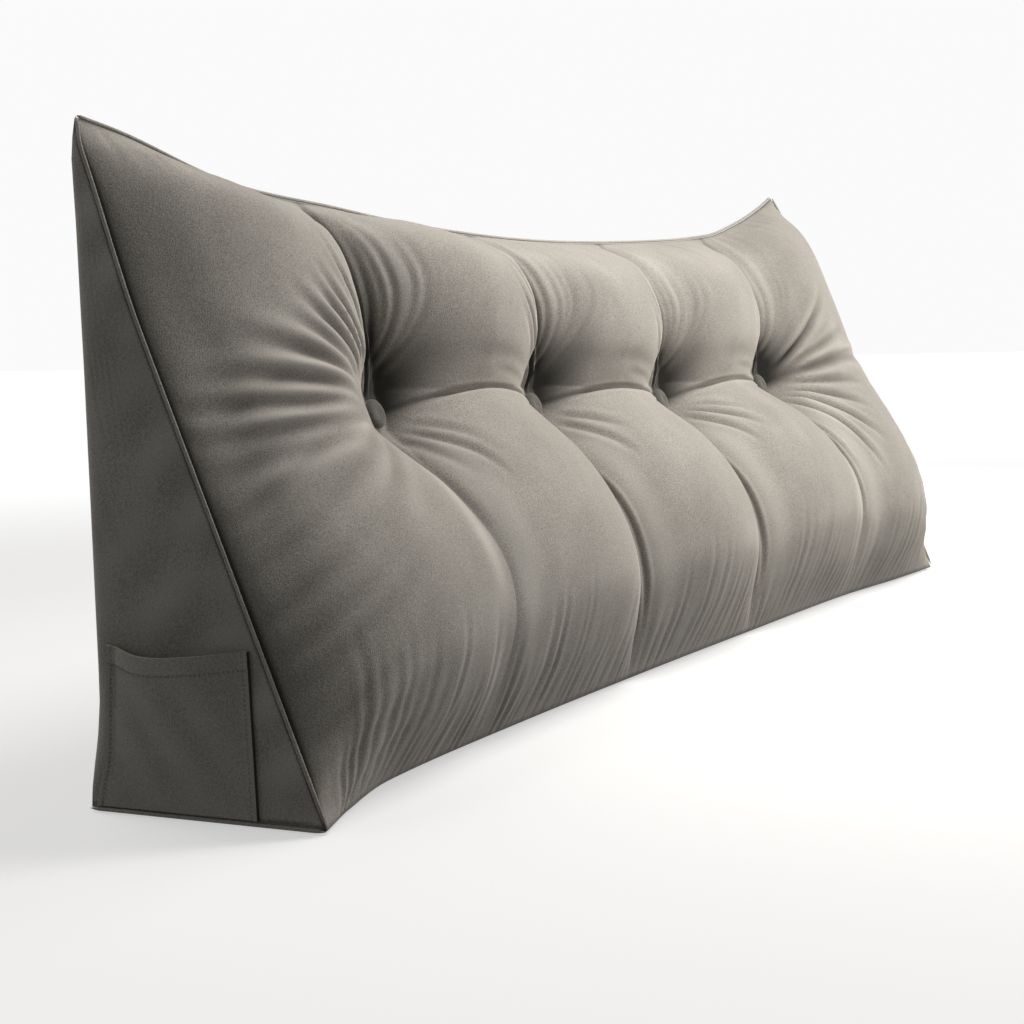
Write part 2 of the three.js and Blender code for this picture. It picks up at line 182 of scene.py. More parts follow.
def front_height(station, panel, down):
    """Height of the filled front over its straight line, down being the distance below the row."""
    nearest = np.clip(np.round(station / PITCH) - 1, 0, LAST_BUTTON - 1).astype(int)
    column = panel["column"]
    aside = station - BUTTONS["at"][nearest]
    upper = down < 0
    span = np.where(upper, panel["row"], panel["length"] - panel["row"])
    outer = (column == 0) | (column == LAST_BUTTON)
    ease = ROW_EASE["reach"] * smooth((np.abs(aside) - ROW_EASE["from"]) / ROW_EASE["over"]) * outer
    reach = eased(np.abs(down), span, ease)
    seat_across = SEAT * np.exp(-((reach / SEAT_FADE) ** 2))
    seat_along = SEAT * np.exp(-((aside / SEAT_FADE) ** 2))
    t = np.maximum(0, reach - seat_along) / (span - seat_along)
    rise = np.where(upper, through(RISE_UP, "rise", t), through(RISE_DOWN, "rise", t))
    up = BUTTONS["up"][nearest] + BUTTONS["up_more"][nearest] * smooth(t)
    low = BUTTONS["down"][nearest] + BUTTONS["down_more"][nearest] * smooth(t / MERGED)
    crest = np.where(upper, up, low)
    crease = lengthwise(rise, t, crest, BUTTONS["seat"][nearest])
    crest = np.where(upper, COMPARTMENTS["upper"][column], COMPARTMENTS["lower"][column])
    crown = lengthwise(rise, t, crest, COMPARTMENTS["row"][column])
    away = np.maximum(0, np.abs(aside) - seat_across)
    broad = (1 - np.minimum(1, away / (PITCH / 2))) ** 2
    opened = 1 - CREASE_SHARE * np.exp(-away / CREASE_RADIUS) - (1 - CREASE_SHARE) * broad
    return np.maximum(0, (crease + (crown - crease) * opened) * end_roll(station))


def tip_pull(end, z):
    rounded = TIP_ROUND["inset"] * smooth((z - HEIGHT + TIP_ROUND["below"]) / TIP_ROUND["below"]) ** 2
    return end["tip_inset"] * smooth((z - TIP_FROM) / (HEIGHT - TIP_FROM)) + rounded


def edge_draw(end, z):
    leaning = smooth((z - TIP_FROM) / (HEIGHT - TIP_FROM))
    return EDGE_DRAW * smooth(z / DRAWN_FROM) * (1 - leaning) + tip_pull(end, z)


def place(station, y, z, on_back):
    """Points of the cover at stations, moved in near each end as its end panel is."""
    x = station + np.zeros_like(z)
    for end in (LEFT, RIGHT):
        to_end = station if end is LEFT else LENGTH - station
        fade = np.maximum(0, 1 - to_end / END_ROLL) ** 2
        x = x - end["outward"] * fade * (edge_draw(end, z) if on_back else tip_pull(end, z))
    return np.stack([x, y + np.zeros_like(x), z + np.zeros_like(x)], -1)


def front_points(station, down):
    """Points of the smooth front panel, down being the distance below the button row."""
    panel = panel_at(station)
    height = front_height(station, panel, down)
    run = panel["row"] + down
    along_y, along_z = panel["along"]
    y = along_y * run + along_z * height
    z = panel["top"] + along_z * run - along_y * height
    return place(station, y, np.maximum(z, SEAM_LIFT), False)


# The grid of the front panel. Columns crowd towards the creases, rows towards the button row.
COLUMNS = 132  # between two buttons
COLUMN_CROWD = 0.45
UPPER_ROWS = 76
LOWER_ROWS = 58
ROW_CROWD = 1.2
TYPICAL = {"upper_span": 178, "lower_span": 272, "upper_crest": 68, "lower_crest": 86}


def crowded(count, crowd):
    """Shares from 0 to 1, closer together at both ends."""
    t = np.linspace(0, 1, count + 1)
    return t - crowd * np.sin(2 * np.pi * t) / (2 * np.pi)


def cloth_shares(rows, span, crest, count):
    """Shares of the way from the button row to a seam, spaced along the risen cloth."""
    t = np.linspace(0, 1, 500)
    steps = np.hypot(np.diff(span * t), np.diff(crest * through(rows, "rise", t)))
    arc = np.concatenate([[0], np.cumsum(steps)])
    return np.interp(np.linspace(0, 1, count + 1) ** ROW_CROWD * arc[-1], arc, t)


def front_stations():
    within = crowded(COLUMNS, COLUMN_CROWD)[:-1]
    spans = [PITCH * (compartment + within) for compartment in range(LAST_BUTTON + 1)]
    return np.concatenate([*spans, [LENGTH]])


STATIONS = front_stations()
PANEL = panel_at(STATIONS)
UP_SHARES = cloth_shares(RISE_UP, TYPICAL["upper_span"], TYPICAL["upper_crest"], UPPER_ROWS)
DOWN_SHARES = cloth_shares(RISE_DOWN, TYPICAL["lower_span"], TYPICAL["lower_crest"], LOWER_ROWS)
DOWN = np.concatenate([
    -UP_SHARES[::-1, None] * PANEL["row"],
    DOWN_SHARES[1:, None] * (PANEL["length"] - PANEL["row"]),
])
FRONT = front_points(STATIONS[None, :], DOWN)

# Cloth coordinates of the front: A along the pillow, B the length of cloth below the button row
A = np.broadcast_to(STATIONS, DOWN.shape)
steps = np.linalg.norm(np.diff(FRONT, axis=0), axis=2)
cloth_run = np.vstack([np.zeros(len(STATIONS)), np.cumsum(steps, axis=0)])
B = cloth_run - cloth_run[UPPER_ROWS]
TO_TOP = B - B[0]
TO_FRONT = B[-1] - B


def normals_of(points):
    """Unit normals of a grid of points, rows down the front and columns along it, facing out."""
    across = np.gradient(points, axis=1)
    down = np.gradient(points, axis=0)
    normal = np.cross(down, across)
    return normal / np.maximum(np.linalg.norm(normal, axis=2, keepdims=True), 1e-9)


def from_edge():
    """Distance of each point from the nearest seam."""
    return np.minimum.reduce([TO_TOP, TO_FRONT, A, LENGTH - A])


def from_crease(a):
    """Distance along the pillow from the nearest button."""
    return np.abs(a - BUTTONS["at"][np.clip(np.round(a / PITCH) - 1, 0, LAST_BUTTON - 1).astype(int)])


# Folds. Each one is a narrow valley with soft lips, drawn along a line in the cloth coordinates.
LIP = 0.55
LIP_AT = 1.9


def furrow(aside, width, before=LIP, after=LIP):
    """Section of a fold: a valley 1 deep, with a lip before it and one after it."""
    x = aside / width
    return -np.exp(-(x**2)) + after * np.exp(-((x - LIP_AT) ** 2)) + before * np.exp(-((x + LIP_AT) ** 2))


def stretch(t, rise, fall):
    """From 0 at t=0 to 1 over the share rise, and back to 0 at t=1 over the share fall."""
    return smooth(t / rise) * smooth((1 - t) / fall)


def crease_folds():
    """Folds that lie beside each crease, up to the top seam and down to the front seam."""
    # button is -1 where a fold is at every button; side is how far it lies from the crease, from
    # and to are shares of the way up the panel, or down it where they are negative
    folds = table(
        "button side from to depth width",
        (-1, 0, 0.02, 1, 5, 2.6), (-1, -9, 0.08, 1, 2.4, 2), (-1, -17, 0.2, 1, 1.4, 2),
        (-1, -27, 0.1, 0.95, 1.2, 2.6), (-1, -38, 0.25, 0.9, 0.7, 3),
        (-1, 10, 0.04, 1, 1.5, 2.4), (-1, 19, 0.12, 1, 1, 2.4), (-1, 30, 0.05, 0.95, 1.3, 3),
        (-1, 43, 0.1, 0.85, 0.9, 3.6), (-1, 60, 0.08, 0.75, 0.9, 5), (-1, 82, 0.14, 0.7, 0.6, 6),
        (0, -2, -0.06, -0.55, 1.2, 8), (1, 0, -0.05, -1, 6, 2.2), (1, -10, -0.3, -1, 2.4, 2.2),
        (1, 11, -0.25, -1, 2.4, 2.2), (2, 0, -0.05, -1, 7, 2.2), (2, -10, -0.4, -1, 2.4, 2.2),
        (2, 11, -0.2, -1, 2.8, 2.2), (3, 2, -0.05, -0.75, 5.5, 3.4), (3, 15, -0.12, -0.6, 2.4, 3.4),
    )
    depth = np.zeros_like(A)
    for number, at in enumerate(BUTTONS["at"]):
        columns = np.abs(STATIONS - at) < PITCH / 2
        b, aside = B[:, columns], A[:, columns] - at
        up = np.where(b < 0, b / B[0, columns], -b / B[-1, columns])
        for i in np.flatnonzero((folds["button"] == -1) | (folds["button"] == number)):
            side, start, stop = folds["side"][i], folds["from"][i], folds["to"][i]
            sway = 0.12 * math.sin(2.3 * number + 1.7 * i)
            t = (up - start) / (stop * (1 - abs(sway)) - start)
            spread = side * (1 + sway) * smooth(np.abs(up) / 0.5) * (1 - 0.3 * up**2)
            spread += 2.5 * sway * np.sin(9 * up)
            width = folds["width"][i] * (0.75 + 0.5 * np.abs(up))
            depth[:, columns] += stretch(t, 0.2, 0.45) * folds["depth"][i] * furrow(aside - spread, width)
    return depth


def spokes():
    """Folds that fan out from each button."""
    # turn is the direction in degrees, 0 to the right and 90 down; curl is added to it over the
    # fold, which starts and ends near and far from the button
    folds = table(
        "button turn curl near far depth width",
        (0, 170, 8, 110, 330, 3.4, 8), (0, 174, 7, 55, 330, 5, 6.4), (0, 180, 6, 50, 330, 5, 6),
        (0, 187, 3, 50, 310, 5.2, 6.4), (0, 195, 2, 60, 270, 4.8, 6.4), (0, 201, 3, 45, 205, 3.6, 4.8),
        (0, 208, 4, 45, 200, 4, 4.8), (0, 218, 1, 45, 175, 3.6, 4.4), (0, 228, -3, 40, 170, 3.8, 4.2),
        (0, 240, 0, 35, 175, 3.4, 3.6), (0, 160, 5, 70, 270, 2.4, 10), (0, 147, 4, 50, 210, 2, 9),
        (0, 48, 9, 26, 130, 2, 4.6), (0, 30, 8, 26, 100, 1.2, 5), (0, 66, 6, 26, 110, 1.2, 4.4),
        (1, 224, -2, 45, 130, 0.9, 4.6), (1, 234, -3, 38, 160, 2.2, 4), (1, 243, -2, 32, 175, 3.6, 3.6),
        (1, 252, -1, 30, 180, 3.4, 3.2), (1, 30, 6, 26, 110, 2, 5), (1, 48, 8, 26, 120, 2.4, 4.6),
        (2, 230, -2, 42, 130, 0.9, 4.4), (2, 241, -3, 36, 160, 2.8, 4), (2, 251, -2, 30, 175, 3.4, 3.4),
        (2, 22, 4, 30, 120, 2, 4.4), (2, 32, 7, 26, 140, 3.2, 4.6), (2, 47, 8, 26, 130, 2.8, 4.4),
        (3, 234, -2, 42, 120, 0.9, 4.4), (3, 246, -2, 34, 160, 2.8, 3.8),
        (3, 336, -4, 26, 200, 4.4, 5.4), (3, 350, 0, 34, 230, 2.6, 5),
        (3, 1, 1, 26, 300, 4, 7), (3, 14, 1, 26, 190, 3, 5), (3, 27, 3, 24, 170, 3.6, 4.8),
        (3, 42, 5, 24, 180, 4.6, 5.2), (3, 58, 8, 24, 190, 4.4, 4.8),
    )
    depth = np.zeros_like(A)
    for i in range(len(folds["turn"])):
        x, y = A - BUTTONS["at"][int(folds["button"][i])], B
        near, far = folds["near"][i], folds["far"][i]
        t = (np.hypot(x, y) - near) / (far - near)
        turn = np.radians(folds["turn"][i] + folds["curl"][i] * np.clip(t, 0, 1))
        ahead = x * np.cos(turn) + y * np.sin(turn)
        aside = -x * np.sin(turn) + y * np.cos(turn)
        line = stretch(t, 0.22, 0.55) * (ahead > 0) * folds["depth"][i]
        depth += line * furrow(aside, folds["width"][i] * (0.7 + 0.6 * np.clip(t, 0, 1)))
    return depth


def row_folds():
    """The pinched crease from button to button, and folds that lie along it on its upper side."""
    # above is the distance over the row, from and to are shares of the way between the buttons
    folds = table(
        "above from to depth width",
        (-2, 0.02, 0.98, 5, 2.6), (15, 0.5, 1, 1.1, 4.4), (30, 0.35, 0.92, 0.7, 7),
    )
    strength = [0.9, 1, 0.9]
    depth = np.zeros_like(A)
    for compartment in range(1, LAST_BUTTON):
        columns = (STATIONS >= PITCH * compartment) & (STATIONS <= PITCH * (compartment + 1))
        along, b = A[:, columns] / PITCH - compartment, B[:, columns]
        for i in range(len(folds["above"])):
            start, stop = folds["from"][i], folds["to"][i]
            t = (along - start) / (stop - start)
            arch = folds["above"][i] * np.sin(np.pi * np.clip(along, 0, 1)) ** 0.5
            line = stretch(t, 0.3, 0.15) * folds["depth"][i] * strength[compartment - 1]
            depth[:, columns] += line * furrow(b + arch, folds["width"][i], 0.1, 0.5)
    return depth


GATHERS = {
    "pitch": (9, 24), "reach": (50, 150), "depth": (0.4, 1.2), "width": (2.6, 4.8), "clear": 16, "most": 1.3,
    "sway": 3, "sway_length": 95, "seed": 11, "first": 34.0, "last": 25, "beside": 40, "straight": 60,
}


def gathers():
    """Uneven gathers that rise side by side from the front seam."""
    draw = np.random.default_rng(GATHERS["seed"])
    depth = np.zeros_like(A)
    at = GATHERS["first"]
    while at < LENGTH - GATHERS["last"]:
        reach, deep = draw.uniform(*GATHERS["reach"]), draw.uniform(*GATHERS["depth"])
        width = draw.uniform(*GATHERS["width"])
        columns = np.abs(STATIONS - at) < GATHERS["beside"]
        rise = TO_FRONT[:, columns]
        t = np.clip(rise / reach, 0, 1)
        sway = GATHERS["sway"] * np.sin((at + rise) / GATHERS["sway_length"])
        aside = A[:, columns] - at - sway * smooth(rise / GATHERS["straight"])
        line = np.sin(np.pi * t**0.7) * deep * smooth(from_crease(A[:, columns]) / GATHERS["clear"])
        depth[:, columns] += line * furrow(aside, width * (0.8 + 0.7 * t))
        at += draw.uniform(*GATHERS["pitch"])
    return GATHERS["most"] * np.tanh(depth / GATHERS["most"])


END_FOLDS_IN = {
    "pitch": (18, 40), "reach": (90, 220), "depth": (0.6, 1.5), "width": (5, 9), "fall": 0.3, "seed": 3,
    "ends": (1, 0.3), "low": 40, "upper": 60,
}
TOP_FOLDS = {
    "pitch": (16, 42), "reach": (35, 110), "depth": (0.15, 0.4), "width": (3.5, 6), "lean": 0.12, "seed": 8,
    "margin": 30.0, "beside": 50,
}


def seam_folds():
    """Slight folds that run in from the end seams, falling towards them, and from the top seam."""
    depth = np.zeros_like(A)
    size = END_FOLDS_IN
    upper = smooth((B + size["upper"]) / size["upper"])
    for seed, into in enumerate((A, LENGTH - A)):
        draw = np.random.default_rng(size["seed"] + seed)
        at = B.min()
        while at < B.max() - size["low"]:
            at += draw.uniform(*size["pitch"])
            reach, deep = draw.uniform(*size["reach"]), draw.uniform(*size["depth"])
            aside = B - at + size["fall"] * into
            line = np.sin(np.pi * np.clip(into / reach, 0, 1) ** 0.6) * deep
            line *= size["ends"][seed]
            depth += line * furrow(aside, draw.uniform(*size["width"])) * upper
    size = TOP_FOLDS
    draw = np.random.default_rng(size["seed"])
    at = size["margin"]
    while at < LENGTH - size["margin"]:
        reach, deep = draw.uniform(*size["reach"]), draw.uniform(*size["depth"])
        lean = draw.uniform(-1, 1) * size["lean"]
        columns = np.abs(STATIONS - at) < size["beside"]
        fall = TO_TOP[:, columns]
        line = np.sin(np.pi * np.clip(fall / reach, 0, 1) ** 0.6) * deep
        depth[:, columns] += line * furrow(A[:, columns] - at - lean * fall, draw.uniform(*size["width"]))
        at += draw.uniform(*size["pitch"])
    return depth


FOLD_SHADE_DEPTH, GATHER_SHADE_DEPTH = 8, 10  # depth of a fold or a gather whose valley gets the darkest painted shade
# Painted shade on cloth facing left or down, painted light on cloth facing right
FACING_SHADE = {"left": 0.25, "right": 0.2, "under": 0.35}
# Painted shade in the well beside and above each button
WELL_SHADE = {"right": 10, "up": 16, "wide": 48, "high": 66, "dark": 0.9, "edge": 30, "foot": 6, "fade": 16}
# Painted shadow along the seams of the front, where the cloth meets the cords
SEAM_SHADOW = {"dark": 0.9, "width": 2.2}
# Painted shadow in a band right of each crease, weaker below the button row
CREASE_SHADE = {"dark": 1.0, "at": 4, "width": 5.5, "near": 40, "fade": 165, "down": 0.3}
# Painted highlights on the brows to each side of each crease
BROW_HIGHLIGHTS = table("at width light", (-26, 14, 0.35), (30, 17, 0.45))
BROW_HIGHLIGHT_FADE = {"from": 15, "over": 60, "seam": 90}


def painted_light_and_shade(normals):
    """Painted light and shade: darker on cloth facing left or down, along the seams, in the wells and beside
    the creases, and paler on cloth facing right and on each brow.
    """
    # Painted shade and light by which way the cloth faces
    tone = -FACING_SHADE["left"] * np.maximum(0, -normals[:, :, 0])
    tone += FACING_SHADE["right"] * np.maximum(0, normals[:, :, 0])
    tone -= FACING_SHADE["under"] * np.maximum(0, -normals[:, :, 2])
    # Painted shadow along the seams
    tone -= SEAM_SHADOW["dark"] * np.exp(-((from_edge() / SEAM_SHADOW["width"]) ** 2))
    brow_fade = smooth((np.abs(B) - BROW_HIGHLIGHT_FADE["from"]) / BROW_HIGHLIGHT_FADE["over"]) * smooth(from_edge() / BROW_HIGHLIGHT_FADE["seam"])
    below = smooth(0.5 - (B - WELL_SHADE["foot"]) / WELL_SHADE["fade"])
    for at in BUTTONS["at"]:
        x = A - at
        # Painted shade in each button's well
        well = ((x - WELL_SHADE["right"]) / WELL_SHADE["wide"]) ** 2 + ((B + WELL_SHADE["up"]) / WELL_SHADE["high"]) ** 2
        tone -= WELL_SHADE["dark"] * np.exp(-well) * smooth(0.5 + x / WELL_SHADE["edge"]) * below
        # Painted shadow beside the crease
        beside = smooth(np.abs(B) / CREASE_SHADE["near"]) * np.exp(-((B / CREASE_SHADE["fade"]) ** 2))
        beside = beside * np.where(B > 0, CREASE_SHADE["down"], 1)
        tone -= CREASE_SHADE["dark"] * beside * np.exp(-(((x - CREASE_SHADE["at"]) / CREASE_SHADE["width"]) ** 2))
        # Painted highlights on the brows
        for i in range(len(BROW_HIGHLIGHTS["at"])):
            brow = np.exp(-(((x - BROW_HIGHLIGHTS["at"][i]) / BROW_HIGHLIGHTS["width"][i]) ** 2))
            tone += BROW_HIGHLIGHTS["light"][i] * brow_fade * brow
    return tone


FILLING = {"height": 0.8, "waves": 14, "longest": 280, "shortest": 120, "edge": 60, "seed": 5}


def filling():
    """Slight lumps of the filling under the cloth."""
    draw = np.random.default_rng(FILLING["seed"])
    height = np.zeros_like(A)
    for _ in range(FILLING["waves"]):
        length = draw.uniform(FILLING["shortest"], FILLING["longest"])
        turn, phase = draw.uniform(0, np.pi), draw.uniform(0, 2 * np.pi)
        height += np.sin(2 * np.pi * (A * np.cos(turn) + B * np.sin(turn)) / length + phase)
    return FILLING["height"] / math.sqrt(FILLING["waves"]) * height * smooth(from_edge() / FILLING["edge"])


def seam_fade():
    """Folds die out where the cloth is sewn down."""
    return smooth(from_edge() / 8)


# Cloth simulation of the front panel: sewn down at its seams and buttons, a little longer than the
# filling needs, and blown out by it
CLOTH_SIM = {
    "columns": 4, "rows": 2, "frames": 20, "quality": 5, "pressure": 2.0, "slack": 0.015,
    "tension": 15, "bending": 0.3, "crease_hold": 0.9, "row_hold": 0.7, "line": 6, "button": 8,
    "cap": 6, "evenings": 6,
}
CLEAR = {"seam": 60, "crease": 45, "row": 80}  # distances over which the cloth is held back


def swelling():
    """How freely the filled parts swell: 1 in their middles, 0 along seams, creases and the row."""
    free = smooth(from_edge() / CLEAR["seam"]) * smooth(from_crease(A) / CLEAR["crease"])
    between = (A > PITCH) & (A < PITCH * LAST_BUTTON)
    return np.where(between, free * smooth(np.abs(B) / CLEAR["row"]), free)


def held_weights(a, b, to_top, to_front):
    """How firmly each point is held: 1 at the seams and buttons, less along the creases."""
    aside = from_crease(a)
    fade = CLOTH_SIM["button"]
    button = smooth((SEAT + fade - np.hypot(aside, b)) / fade)
    crease = CLOTH_SIM["crease_hold"] * np.exp(-((aside / CLOTH_SIM["line"]) ** 2))
    between = (a > PITCH) & (a < PITCH * LAST_BUTTON)
    row = CLOTH_SIM["row_hold"] * np.exp(-((b / CLOTH_SIM["line"]) ** 2)) * between
    edge = np.minimum.reduce([to_top, to_front, a, LENGTH - a]) < 1
    return np.where(edge, 1, np.maximum(np.maximum(button, crease), row))


def settled(front):
    """Displacement of each point of the front after the simulation."""
    columns = np.arange(0, len(STATIONS), CLOTH_SIM["columns"])
    rows = np.append(np.arange(0, len(front) - 1, CLOTH_SIM["rows"]), len(front) - 1)
    part = np.ix_(rows, columns)
    start = front[part] * MM
    count = len(columns)
    faces = [
        (j * count + i, (j + 1) * count + i, (j + 1) * count + i + 1, j * count + i + 1)
        for j in range(len(rows) - 1)
        for i in range(count - 1)
    ]
    mesh = bpy.data.meshes.new("simulated")
    mesh.from_pydata(start.reshape(-1, 3), [], faces)
    piece = add_object("simulated", mesh)
    held = piece.vertex_groups.new(name="held")
    weights = held_weights(A[part], B[part], TO_TOP[part], TO_FRONT[part]).ravel()
    for number, weight in enumerate(weights):
        held.add([number], float(weight), "REPLACE")
    cloth = piece.modifiers.new("cloth", "CLOTH")
    settings = cloth.settings
    settings.quality = CLOTH_SIM["quality"]
    settings.tension_stiffness = settings.compression_stiffness = CLOTH_SIM["tension"]
    settings.bending_stiffness = CLOTH_SIM["bending"]
    settings.vertex_group_mass = "held"
    settings.shrink_min = -CLOTH_SIM["slack"]
    settings.use_pressure = True
    settings.uniform_pressure_force = CLOTH_SIM["pressure"]
    settings.effector_weights.gravity = 0
    cloth.point_cache.frame_end = CLOTH_SIM["frames"]
    for number in range(1, CLOTH_SIM["frames"] + 1):
        bpy.context.scene.frame_set(number)
    seen = piece.evaluated_get(bpy.context.evaluated_depsgraph_get())
    moved = np.empty(len(weights) * 3, np.float32)
    seen.data.vertices.foreach_get("co", moved)
    bpy.data.objects.remove(piece)
    bpy.context.scene.frame_set(1)
    shift = (moved.reshape(start.shape) - start) / MM
    size = np.linalg.norm(shift, axis=2, keepdims=True)
    cap = CLOTH_SIM["cap"]
    shift *= cap * np.tanh(size / cap) / np.maximum(size, 1e-6)
    for _ in range(CLOTH_SIM["evenings"]):
        around = np.pad(shift, ((1, 1), (1, 1), (0, 0)), "edge")
        beside = around[:-2, 1:-1] + around[2:, 1:-1] + around[1:-1, :-2] + around[1:-1, 2:]
        shift = shift / 2 + beside / 8
    wide = curve(columns, shift.transpose(1, 0, 2), np.arange(len(STATIONS))).transpose(1, 0, 2)
    return curve(rows, wide, np.arange(len(front)))


FRONT = FRONT + settled(FRONT) * swelling()[:, :, None]
SMOOTH_NORMALS = normals_of(FRONT)
FOLDS = (crease_folds() + spokes() + row_folds()) * seam_fade()
GATHERED = (gathers() + seam_folds()) * seam_fade()
FRONT = FRONT + SMOOTH_NORMALS * (FOLDS + GATHERED + filling())[:, :, None]
# Painted shade in the valleys of folds and gathers and painted highlight on their lips, with the cloth's
# painted light and shade
PAINTED_SHADE_TONE = np.clip(FOLDS / FOLD_SHADE_DEPTH + GATHERED / GATHER_SHADE_DEPTH + painted_light_and_shade(SMOOTH_NORMALS), -1, 1)


# The rest of the cushion: base, back and end panels
BASE_ROLL = 8
BACK_ROLL = 80
BACK_ROWS = 18
BASE_ROWS = 8
BACK_STEP = 4  # of the front's columns
BACK_FOLDS = {"height": 1.6, "long": 170, "short": 95}


def base_rows(stations, front_seam):
    shares = np.linspace(0, 1, BASE_ROWS)
    flat = [place(stations, front_seam[:, 1] + BASE_ROLL, np.zeros_like(stations), False)]
    for share in shares[1:-1]:
        y = front_seam[:, 1] * (1 - share) - BASE_ROLL * share
        flat.append(place(stations, y, np.zeros_like(stations), False))
    flat.append(place(stations, np.full_like(stations, -BASE_ROLL), np.zeros_like(stations), False))
    for row in flat:
        row[[0, -1], 2] = SEAM_LIFT
    return flat


def back_rows(stations):
    top = panel_at(stations)["top"]
    rows = []
    for share in crowded(BACK_ROWS, 0.5)[:-1]:
        z = SEAM_LIFT + (top - SEAM_LIFT) * share
        nearest = np.minimum.reduce([top - z, z - SEAM_LIFT, stations, LENGTH - stations])
        crown = BACK_CROWN * smooth(nearest / BACK_ROLL)
        wave = np.sin(stations / BACK_FOLDS["long"] + z / BACK_FOLDS["short"])
        wave = wave * np.sin(z / BACK_FOLDS["long"] - stations / BACK_FOLDS["short"])
        crown -= BACK_FOLDS["height"] * (1 + wave) * smooth(nearest / BACK_ROLL)
        rows.append(place(stations, crown, z, True))
    return rows


# A mesh is put together from rows of points. Neighbouring rows have as many points, or one has
# twice as many steps as the other.
def bridge(one, two, faces):
    """Faces between two rows of point numbers, each row going from the left end to the right."""
    if len(one) == len(two):
        for i in range(len(one) - 1):
            faces.append((one[i], two[i], two[i + 1], one[i + 1]))
    elif len(two) > len(one):
        for i in range(len(one) - 1):
            a, b, c = two[2 * i], two[2 * i + 1], two[2 * i + 2]
            faces.extend([(one[i], a, b), (one[i], b, one[i + 1]), (b, c, one[i + 1])])
    else:
        for i in range(len(two) - 1):
            a, b, c = one[2 * i], one[2 * i + 1], one[2 * i + 2]
            faces.extend([(a, two[i], b), (two[i], two[i + 1], b), (b, two[i + 1], c)])


UNDER_FRONT, BEHIND_TOP = [0, 2, -1], [0, 1, -1]  # how the cover turns in past these two seams
END_RINGS = [
    0.985, 0.967, 0.95, 0.93, 0.9, 0.86, 0.81, 0.75, 0.68, 0.6, 0.52, 0.44, 0.36, 0.28, 0.2, 0.13, 0.06, 0,
]
END_CENTRE = {"y": -BASE_DEPTH / 3, "z": HEIGHT / 3}
END_FOLDS = {
    "depth": 1.4, "length": 62, "slope": 0.75, "across": 210, "sway": 70, "edge": 0.3, "tone": 0.18,
    "lift": 0.13,
}
# Painted shadow line along an end panel's slanted and base seams
END_SEAM_SHADOW = {"dark": 0.95, "width": 3}


def end_panel_points(end, edge, scale):
    """A ring of an end panel, drawn in from its edge towards its centre, with soft slanting folds, painted
    shade in their hollows and a painted shadow line along its seams.
    """
    y = END_CENTRE["y"] + scale * (edge[:, 1] - END_CENTRE["y"])
    z = END_CENTRE["z"] + scale * (edge[:, 2] - END_CENTRE["z"])
    side = 0 if end is LEFT else LENGTH
    plane = side - end["outward"] * tip_pull(end, edge[:, 2])
    drawn = (edge[:, 0] - plane) * scale**PANEL_SET
    slant = 2 * np.pi * (z + END_FOLDS["slope"] * y) / END_FOLDS["length"]
    wave = np.sin(slant + np.sin(z / END_FOLDS["sway"]))
    wave = wave * np.sin(2 * np.pi * (z - y) / END_FOLDS["across"] + 1)
    fold = END_FOLDS["depth"] * smooth((1 - scale) / END_FOLDS["edge"]) * (1 + wave) / 2
    x = side - end["outward"] * (tip_pull(end, z) + fold) + drawn
    panel = panel_at(np.array([float(side)]))
    along_y, along_z = panel["along"][:, 0]
    to_slant = (z - panel["top"][0]) * along_y - y * along_z
    to_seam = np.minimum(to_slant, z - SEAM_LIFT)
    line = np.exp(-((np.maximum(to_seam, 0) / END_SEAM_SHADOW["width"]) ** 4))
    # Slightly paler overall, with painted shade in the fold hollows and a painted shadow line along the
    # seams
    tone = END_FOLDS["lift"] - END_FOLDS["tone"] * wave - END_SEAM_SHADOW["dark"] * line
    return np.stack([x, y, z, tone], -1)


def toned(row, tone=0):
    """Points with their tone as a fourth number."""
    return np.column_stack([row, np.full(len(row), float(tone))])


def ring_faces(outer, ring, end):
    """Faces of an end panel between a ring and the next one in, which may be its centre."""
    faces = []
    for i in range(len(outer)):
        j = (i + 1) % len(outer)
        inner = (ring[i], ring[j]) if len(ring) > 1 else (ring[0],)
        face = (outer[i], *inner, outer[j])
        faces.append(face if end is RIGHT else face[::-1])
    return faces


def cushion_mesh(front, tone, back_step):
    """Points and faces of the whole cover, each point with its tone of painted light and shade."""
    rows = list(np.dstack([front, tone]))
    # The row turned under the front seam gets the darkest painted shade
    rows.append(toned(front[-1][::2] + UNDER_FRONT, -1))
    stations = STATIONS[::back_step]
    rows.extend(toned(row) for row in base_rows(stations, front[-1][::back_step]))
    rows.extend(toned(row) for row in back_rows(stations))
    rows.append(toned(front[0][::2] + BEHIND_TOP))
    points, numbers = [], []
    for row in rows:
        first = sum(len(r) for r in points)
        points.append(row)
        numbers.append(list(range(first, first + len(row))))
    faces = []
    for one, two in zip(numbers, numbers[1:] + numbers[:1]):
        bridge(one, two, faces)
    points = np.concatenate(points)
    for end in (LEFT, RIGHT):
        column = 0 if end is LEFT else -1
        outer = [row[column] for row in numbers]
        edge = points[outer]
        for scale in END_RINGS:
            rim = edge if scale else edge[:1]
            ring = list(range(len(points), len(points) + len(rim)))
            points = np.vstack([points, end_panel_points(end, rim, scale)])
            faces.extend(ring_faces(outer, ring, end))
            outer = ring
    return points, faces


def new_object(name, points, faces, material):
    """A smooth-shaded mesh object from points in the sewn frame, in millimetres."""
    mesh = bpy.data.meshes.new(name)
    mesh.from_pydata(np.asarray(points) * MM + ORIGIN, [], faces)
    mesh.update()
    mesh.shade_smooth()
    piece = add_object(name, mesh)
    mesh.materials.append(material)
    return piece


def finish_piece(piece, slot, *nodes):
    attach(piece, "root")
    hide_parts(*nodes)


# Materials
def link(tree, start, end):
    tree.links.new(start, end)


